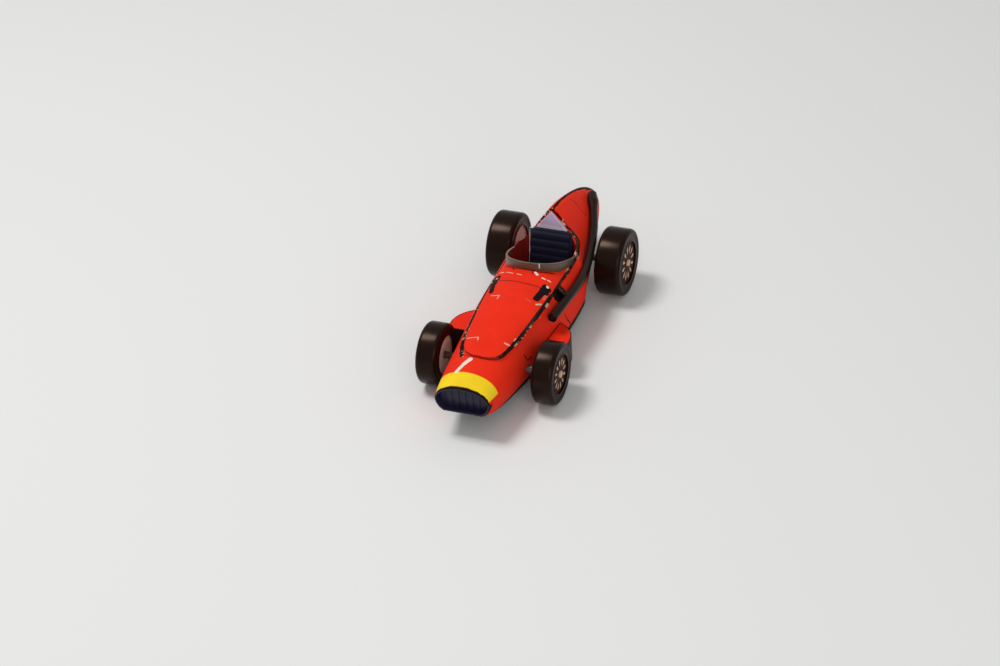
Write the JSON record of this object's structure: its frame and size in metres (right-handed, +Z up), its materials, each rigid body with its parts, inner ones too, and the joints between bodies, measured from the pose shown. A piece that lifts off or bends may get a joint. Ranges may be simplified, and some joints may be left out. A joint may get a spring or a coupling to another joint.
{
  "type": "toy open wheel racing car",
  "caption": "Small toy of a front-engined single-seater racing car with open wheels that turn, a raised bonnet panel, a wrapped screen, a headrest fairing and a side exhaust.",
  "frame": {"origin": "on the ground, under the middle of the car's overall box", "axes": "+Z up, -Y towards the nose, +X towards the car's left side"},
  "size_m": [0.0252, 0.0688, 0.0177],
  "materials": {
    "red_card": "satin printed card, orange-red, with black and dark-red outline lines and a yellow band round the nose",
    "grille_navy": "matt dark navy",
    "screen_grey": "opaque grey-brown with a thin pale edge",
    "pad_lavender": "matt lavender",
    "seat_navy": "matt near-black navy",
    "underside_black": "matt black",
    "pipe_black": "glossy black",
    "axle_wire": "dull drawn wire",
    "tyre_black": "glossy black",
    "wheel_pale": "pale beige",
    "wheel_dark": "dark reddish brown"
  },
  "bodies": {
    "body": {"body_shell": "red_card", "nose_grille": "grille_navy", "bonnet_panel": "red_card", "windscreen": "screen_grey", "headrest_pad": "pad_lavender", "seat": "seat_navy", "underpan": "underside_black", "flare_left": "red_card", "flare_right": "red_card", "exhaust_pipe": "pipe_black", "exhaust_stub": "pipe_black", "front_axle": "axle_wire", "rear_axle": "axle_wire"},
    "wheel_front_left_body": {"tyre_front_left": "tyre_black", "wheel_front_left": "wheel_pale", "spokes_front_left": "wheel_dark"},
    "wheel_front_right_body": {"tyre_front_right": "tyre_black", "wheel_front_right": "wheel_pale", "spokes_front_right": "wheel_dark"},
    "wheel_rear_left_body": {"tyre_rear_left": "tyre_black", "wheel_rear_left": "wheel_pale", "spokes_rear_left": "wheel_dark"},
    "wheel_rear_right_body": {"tyre_rear_right": "tyre_black", "wheel_rear_right": "wheel_pale", "spokes_rear_right": "wheel_dark"}
  },
  "joints": [
    {"name": "wheel_front_left_spin", "type": "hinge", "parent": "body", "child": "wheel_front_left_body", "pos_m": [0.0104, -0.01965, 0.00545], "axis": [1, 0, 0], "continuous": true},
    {"name": "wheel_front_right_spin", "type": "hinge", "parent": "body", "child": "wheel_front_right_body", "pos_m": [-0.0104, -0.01965, 0.00545], "axis": [1, 0, 0], "continuous": true},
    {"name": "wheel_rear_left_spin", "type": "hinge", "parent": "body", "child": "wheel_rear_left_body", "pos_m": [0.01025, 0.01595, 0.0061], "axis": [1, 0, 0], "continuous": true},
    {"name": "wheel_rear_right_spin", "type": "hinge", "parent": "body", "child": "wheel_rear_right_body", "pos_m": [-0.01025, 0.01595, 0.0061], "axis": [1, 0, 0], "continuous": true}
  ]
}
